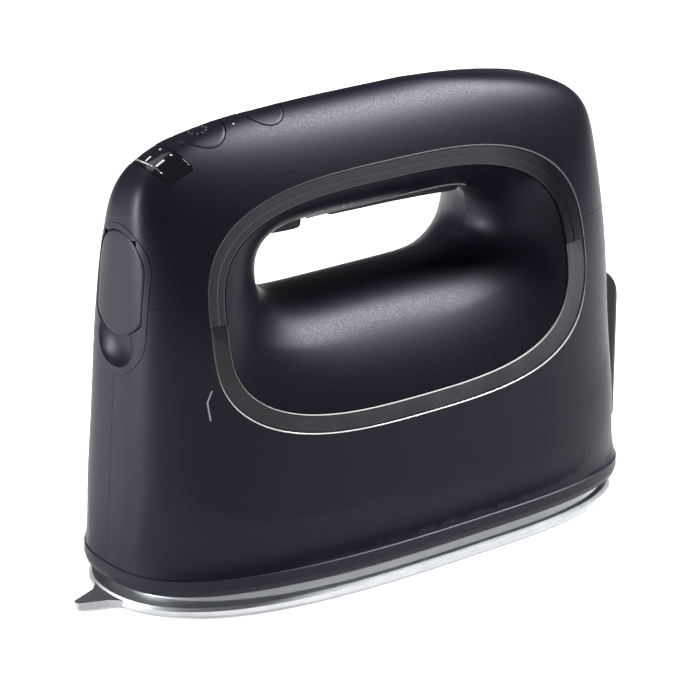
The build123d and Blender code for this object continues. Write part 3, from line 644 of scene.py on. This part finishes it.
def print_mark(name, centre, tilt, u, v, width, height):
    """Thin printed bar, a film of ink that follows the surface."""
    outline = rounded_rectangle(width, height, min(width, height) * 0.49, 3)
    lean = math.radians(tilt)
    middle = (centre[0] + u, centre[1] + v * math.cos(lean), centre[2] + v * math.sin(lean))
    film = [(1.0, 0.03), (1.0, -0.02), (0.96, -0.03), (0.5, -0.03), (0.05, -0.03)]
    return cap(name, middle, tilt, outline, film, print_white, "iron")


print_mark("display_line", LENS_PLACE, LENS_TILT, 0, -3.1, 15.0, 0.35)
for i in range(3):
    print_mark(f"display_bar_{i}", LENS_PLACE, LENS_TILT, -5 + 5 * i, -1.9 + 0.5 * i, 0.6, 1.2 + i)
    print_mark(f"display_dot_{i}", LENS_PLACE, LENS_TILT, -5 + 5 * i, 3.2, 0.7, 0.7)
for i, y in enumerate((-44.6, -43.2)):
    print_mark(f"handle_dot_{i}", (3.5 - 7 * i, y, 141.8), 8, 0, 0, 0.6, 0.6)

# ---- Fill line ----
# A thin grey print on each flank in front of the window shows how far the tank may be filled. It
# is pad-printed on the satin resin and stands only a few hundredths proud.


def ribbon(name, path, width, lifts, place, paint):
    """Film of ink along a path on a face; place turns path coordinates and a lift into a point."""
    root, top = lifts
    rows = []
    for i, (u, v) in enumerate(path):
        ahead = np.subtract(path[min(i + 1, len(path) - 1)], path[max(i - 1, 0)])
        across = np.array([-ahead[1], ahead[0]]) / np.hypot(*ahead) * width / 2
        for k, lift in ((-1, root), (-1, top), (1, top), (1, root)):
            rows.append(place(u + k * across[0], v + k * across[1], lift))
    return mesh_piece(name, rows, tube_faces(len(path), 4), paint, "iron")


ink_grey = Paint("ink_grey", (0.25, 0.25, 0.27), 0.5)
ink_grey.tint(ink_grey.noise(2500, 1), (0.2, 0.2, 0.22), (0.3, 0.3, 0.32))
fill_path = [(-69.7, 71.4), (-70.4, 69.8), (-71.2, 68.0), (-71.0, 65.4), (-70.7, 62.4)]
for side, label in ((1, "right"), (-1, "left")):
    ribbon(f"fill_line_{label}", fill_path, 0.42, (0.0, 0.035),
           lambda y, z, lift: (side * (float(flank(y, z)) + lift), y, z), ink_grey)

# ---- Controls under the handle ----
# A smooth slider knob and, behind it, the long steam trigger that one finger pulls up. Both are
# black moulded resin with softened edges, and a grey lip runs along the slot.


def rounded_bar(name, outline, half, radius, paint, body):
    """Bar along X from a side outline of (y, z), its two end edges rounded."""
    shape = np.array(outline, float)
    count = len(shape)
    before, after = np.roll(shape, 1, axis=0), np.roll(shape, -1, axis=0)
    run = after - before
    normal = np.column_stack([run[:, 1], -run[:, 0]]) / np.hypot(run[:, 0], run[:, 1])[:, None]
    area = np.sum(before[:, 0] * shape[:, 1] - shape[:, 0] * before[:, 1])
    normal *= 1 if area > 0 else -1
    rows = []
    for x, inward in ((-half, radius), (-half + 0.3 * radius, 0.3 * radius), (-half + radius, 0),
                      (half - radius, 0), (half - 0.3 * radius, 0.3 * radius), (half, radius)):
        ring = shape - normal * inward
        rows.append(np.column_stack([np.full(count, x), ring[:, 0], ring[:, 1]]))
    return mesh_piece(name, np.concatenate(rows), tube_faces(len(rows), count), paint, body, 30)


control_black = Paint("control_black", (0.006, 0.006, 0.008), 0.38, specular=0.15)
control_black.tint(control_black.noise(80), (0.005, 0.005, 0.007), (0.008, 0.008, 0.010))
control_black.rough(control_black.between(control_black.noise(1500, 1), 0.30, 0.46))
control_black.bump(control_black.noise(2200, 1), 0.00001, 0.5)
# Painted highlight: the edges of the trigger, knob and slot plate are coloured lighter.
control_black.paint_edge_highlight((0.03, 0.03, 0.034))
trigger_side = [(-13.9, 112.9), (-13.9, 110.6), (-13.4, 109.9), (-11.6, 108.3), (-10.6, 107.95),
                (0, 107.7), (12, 107.5), (25, 107.0), (36.5, 106.3), (37.7, 106.3), (38.8, 106.8),
                (40.6, 108.1), (40.9, 108.7), (40.9, 112.9)]
trigger = rounded_bar("steam_trigger_bar", trigger_side, 6.35, 0.7, control_black, "steam_trigger")
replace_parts(trigger, "steam_trigger")
knob_side = [(-37.6, 110.05), (-37.6, 108.9), (-37.1, 108.0), (-36.0, 107.3), (-34.0, 106.75),
             (-31.0, 106.45), (-27.0, 106.3), (-24.2, 106.3), (-23.1, 106.5), (-22.5, 107.0),
             (-22.2, 107.9), (-22.2, 110.05)]
knob = rounded_bar("mode_slider_knob", knob_side, 6.25, 0.4, control_black, "mode_slider")
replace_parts(knob, "mode_slider")
coat(control_black, "slot_plate")


def roof(x, y):
    """Height of the grip's roof lining at this place."""
    front, rear, low, high, along, upright = grip_section(abs(x))
    share = abs((y - (front + rear) / 2) / ((rear - front) / 2)) ** along
    return (low + high) / 2 + (high - low) / 2 * max(0.0, 1 - share) ** (1 / upright)


lip_grey = Paint("lip_grey", (0.10, 0.10, 0.11), 0.3)
lip_grey.tint(lip_grey.noise(60), (0.08, 0.08, 0.09), (0.12, 0.12, 0.13))
lip_grey.rough(lip_grey.between(lip_grey.noise(1200, 2), 0.24, 0.38))
lip_profile = [(6.9, 0.1), (6.9, -0.34), (7.15, -0.48), (7.55, -0.34), (7.6, 0.1)]
for side, label in ((1, "right"), (-1, "left")):
    rows = [(side * x, y, roof(7.2, y) + lift)
            for y in np.linspace(-21, 41, 41) for x, lift in lip_profile]
    lip = mesh_piece(f"slot_lip_{label}", rows, tube_faces(41, len(lip_profile)), lip_grey, "iron")


def on_roof(x, y, lift):
    return x, y, roof(x, y) + lift


for i, y in enumerate((-20.5, -12.6, -9.4)):
    loop = [(12.4 + 1.5 * math.cos(a), y + 1.5 * math.sin(a))
            for a in np.radians(np.linspace(20, 330, 15))]
    ribbon(f"steam_mark_{i}", loop, 0.4, (0.02, -0.05), on_roof, ink_grey)
slash = [(10.6, -17.2), (12.4, -16.4), (14.2, -15.6)]
ribbon("steam_mark_slash", slash, 0.4, (0.02, -0.05), on_roof, ink_grey)

# ---- Terminal block on the heel ----
# Glass-filled black resin block that plugs on the heating stand, three brass studs in its mouth,
# and a few moulded pips on the heel above it.
terminal_resin = Paint("terminal_resin", (0.0065, 0.0065, 0.010), 0.42, specular=0.15)
terminal_resin.tint(terminal_resin.noise(60), (0.006, 0.006, 0.009), (0.0085, 0.0085, 0.012))
terminal_resin.rough(terminal_resin.between(terminal_resin.noise(1300, 1), 0.34, 0.5))
terminal_resin.bump(terminal_resin.noise(2000, 1), 0.00002, 0.5)
# Painted highlight: the terminal block's edges and the heel pips are coloured lighter.
terminal_resin.paint_edge_highlight((0.05, 0.05, 0.055), 0.0006)
coat(terminal_resin, "terminal_cover")
brass = Paint("contact_brass", (0.72, 0.52, 0.22), 0.25, metal=1.0)
brass.tint(brass.noise(300), (0.62, 0.43, 0.17), (0.78, 0.58, 0.27))
brass.rough(brass.between(brass.noise(1500, 2), 0.18, 0.4))
coat(brass, "contact_studs")
pip_profile = [(0.62, -0.2), (0.6, 0.18), (0.45, 0.34), (0.15, 0.4)]
PIP_SIDES = 14
for row, z in enumerate((82.0, 88.0)):
    for i in range(3):
        x = 10 + 3.2 * i
        rows = []
        for radius, lift in pip_profile:
            for k in range(PIP_SIDES):
                a = 2 * math.pi * k / PIP_SIDES
                spot = np.array([[x + radius * math.cos(a), 60.0, z + radius * math.sin(a)]])
                rows.append(reach_skin(spot, np.array([0, 1.0, 0]), 0, 40)[0] + (0, lift, 0))
        faces = tube_faces(len(pip_profile), PIP_SIDES)
        mesh_piece(f"heel_pip_{row}_{i}", rows, faces, terminal_resin, "iron", 50)

# ---- Water path ----
# Clear blow-moulded tank, its elbow, the soft silicone seal and tube, and the small magnet pump.
# The carrier, the switch and the pump's shell are moulded in the elbow's grey resin.
tank_clear = Paint("tank_clear", (0.80, 0.86, 0.90), 0.10, specular=0.5)
tank_clear.shader.inputs["Transmission Weight"].default_value = 0.85
tank_clear.shader.inputs["IOR"].default_value = 1.49
tank_clear.rough(tank_clear.between(tank_clear.noise(200, 3), 0.06, 0.2))
tank_clear.bump(tank_clear.noise(90, 2), 0.00004, 0.3)
coat(tank_clear, "water_tank")
silicone = Paint("milky_silicone", (0.52, 0.53, 0.54), 0.45)
silicone.shader.inputs["Subsurface Weight"].default_value = 0.2
silicone.tint(silicone.noise(200), (0.48, 0.49, 0.5), (0.58, 0.59, 0.6))
silicone.rough(silicone.between(silicone.noise(900, 2), 0.38, 0.55))
silicone.bump(silicone.noise(1200, 2), 0.00002, 0.4)
coat(silicone, "fill_seal", "pump_tube")
neck_grey = Paint("neck_resin", (0.05, 0.05, 0.055), 0.4)
neck_grey.tint(neck_grey.noise(70), (0.045, 0.045, 0.05), (0.06, 0.06, 0.065))
neck_grey.rough(neck_grey.between(neck_grey.noise(1100, 1), 0.34, 0.48))
neck_grey.bump(neck_grey.noise(1800, 1), 0.00001, 0.4)
coat(neck_grey, "fill_neck", "handle_carrier", "steam_switch", "pump")

# ---- Hot parts inside ----
# Steel-sheathed element, pressed steam chamber cover, probe and fuse, and the screws that pull
# the glass-filled shield down on the casting. The hinge pins are cut from the same drawn steel.
steel = Paint("drawn_steel", (0.50, 0.50, 0.51), 0.32, metal=1.0)
steel.tint(steel.noise(150), (0.42, 0.42, 0.43), (0.56, 0.56, 0.57))
steel.rough(steel.between(steel.noise(900, 2, (1, 0.05, 1)), 0.22, 0.42))
steel.bump(steel.noise(1500, 1, (1, 0.05, 1)), 0.00001, 0.5)
coat(steel, "chamber_cover", "base_screws", "housing_screws", "trigger_pin", "fill_lid_pin")
element_steel = Paint("heated_steel", (0.24, 0.21, 0.19), 0.42, metal=1.0)
element_steel.tint(element_steel.noise(90, 3), (0.16, 0.14, 0.14), (0.34, 0.29, 0.24))
element_steel.rough(element_steel.between(element_steel.noise(1100, 2), 0.32, 0.55))
coat(element_steel, "heating_element", "thermistor", "thermal_fuse")
heat_resin = Paint("glass_filled_resin", (0.11, 0.10, 0.09), 0.55)
heat_resin.tint(heat_resin.noise(500, 3), (0.09, 0.082, 0.075), (0.14, 0.13, 0.115))
heat_resin.rough(heat_resin.between(heat_resin.noise(1400, 2), 0.45, 0.65))
heat_resin.bump(heat_resin.noise(1600, 2), 0.00003, 0.5)
coat(heat_resin, "heat_shield")

# ---- Trigger spring ----
# Steel wire wound in four turns over the front of the trigger. On the real iron its upper end stays
# put and it shortens as the finger pulls the trigger up; here it is one fixed coil on the iron.


def coil(name, centre, radius, wire, low, high, turns, paint):
    """Wire wound round an upright axis, its two ends closed."""
    steps, around = turns * 24, 8
    rows = []
    for i in range(steps + 1):
        a = 2 * math.pi * turns * i / steps
        z = low + wire + (high - low - 2 * wire) * i / steps
        for k in range(around):
            b = 2 * math.pi * k / around
            out = radius + wire * math.cos(b)
            rows.append((centre[0] + out * math.cos(a), centre[1] + out * math.sin(a),
                         z + wire * math.sin(b)))
    return mesh_piece(name, rows, tube_faces(steps + 1, around), paint, "iron")


spring = coil("trigger_return_spring", (0, -5), 2.3, 0.33, 113.05, 118.75, 4, steel)
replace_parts(spring, "trigger_spring")
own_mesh(spring)

# ---- Electronics ----
# Green board under the controls with amber level lamps soldered on, and the sheathed wires that
# run along the handle.
board_green = Paint("board_green", (0.01, 0.09, 0.035), 0.35)
board_green.tint(board_green.noise(700, 3), (0.008, 0.07, 0.028), (0.016, 0.12, 0.05), 0.45, 0.55)
board_green.rough(board_green.between(board_green.noise(1000, 2), 0.28, 0.45))
coat(board_green, "control_board")
amber = Paint("lamp_amber", (0.75, 0.33, 0.04), 0.2)
amber.tint(amber.noise(400), (0.65, 0.26, 0.03), (0.82, 0.40, 0.06))
amber.rough(amber.between(amber.noise(1500, 1), 0.14, 0.3))
coat(amber, "indicator_leds")
wire_sheath = Paint("wire_sheath", (0.015, 0.015, 0.017), 0.5)
wire_sheath.tint(wire_sheath.noise(300), (0.012, 0.012, 0.014), (0.022, 0.022, 0.024))
wire_sheath.rough(wire_sheath.between(wire_sheath.noise(1300, 1), 0.42, 0.6))
coat(wire_sheath, "wiring")
